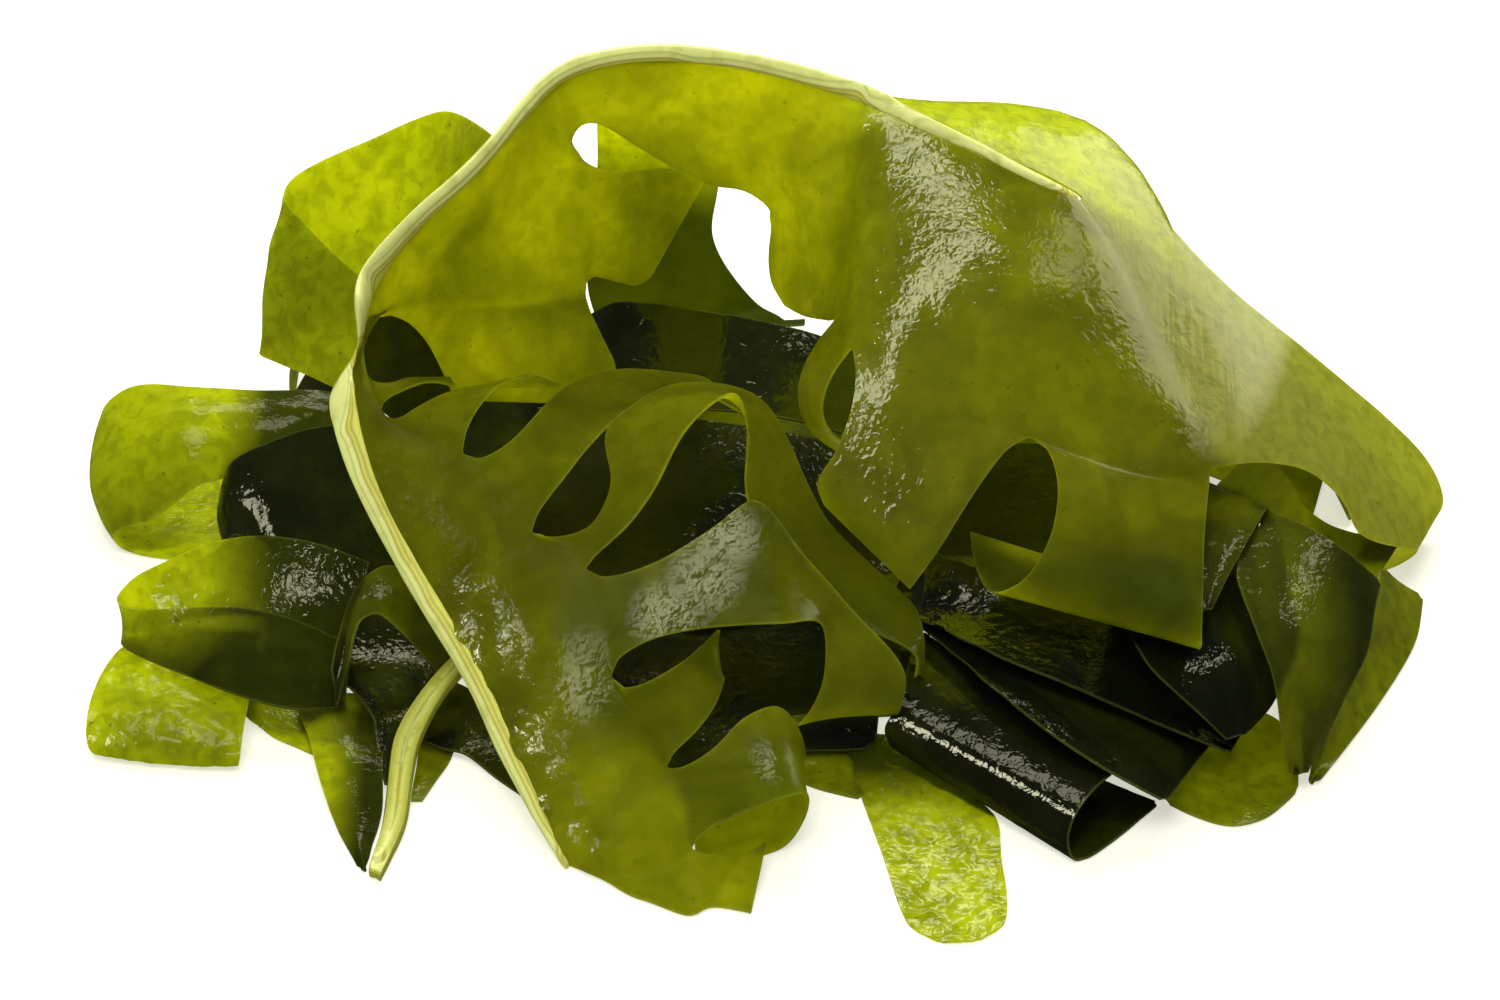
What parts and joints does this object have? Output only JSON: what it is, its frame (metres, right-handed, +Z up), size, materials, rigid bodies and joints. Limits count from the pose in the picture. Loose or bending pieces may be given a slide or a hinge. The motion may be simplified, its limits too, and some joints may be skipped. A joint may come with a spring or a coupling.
{
  "type": "kelp",
  "caption": "Heap of fresh wet kelp: a pale-ribbed frond with round-ended gaps between its lobes, looped over a bed of glossy cut straps.",
  "frame": {"origin": "on the table, under the middle of the heap's box", "axes": "+X to the right and +Y away from a viewer in front of the heap, +Z up"},
  "size_m": [0.2896, 0.2188, 0.0995],
  "materials": {
    "rib": "wet, finely striated",
    "blade": "wet gloss, finely wrinkled",
    "bright": "wet gloss, blistered, lit through",
    "olive": "wet gloss",
    "dark": "wet gloss, finely wrinkled"
  },
  "bodies": {
    "root": {"blade": "blade", "midrib": "rib", "stipe": "rib", "strap_left_tongue": "bright", "strap_left_hollow": "dark", "strap_left_arch": "olive", "strap_left_foot": "bright", "strap_left_floor": "bright", "strap_left_point": "dark", "strap_left_hoop": "olive", "strap_rib_shade": "dark", "strap_stipe_shade": "olive", "strap_tongue": "bright", "strap_olive_end": "olive", "strap_roll": "dark", "strap_flat": "dark", "strap_ridge": "dark", "strap_sling": "dark", "strap_tent": "bright", "strap_twist": "bright", "strap_right_floor": "bright", "strap_right_wall": "dark", "strap_back_left": "bright", "strap_back_dark": "dark", "strap_back_leaf": "bright", "strap_inner_upper": "dark", "strap_inner_lower": "dark", "strap_left_inner": "dark", "strap_wing_lining": "olive", "strap_back_shade": "dark", "strap_coil_left": "olive", "strap_coil_right": "olive", "strap_bed_middle": "dark", "strap_bed_front": "dark", "strap_back_floor": "olive", "strap_back_right": "olive"}
  },
  "joints": []
}
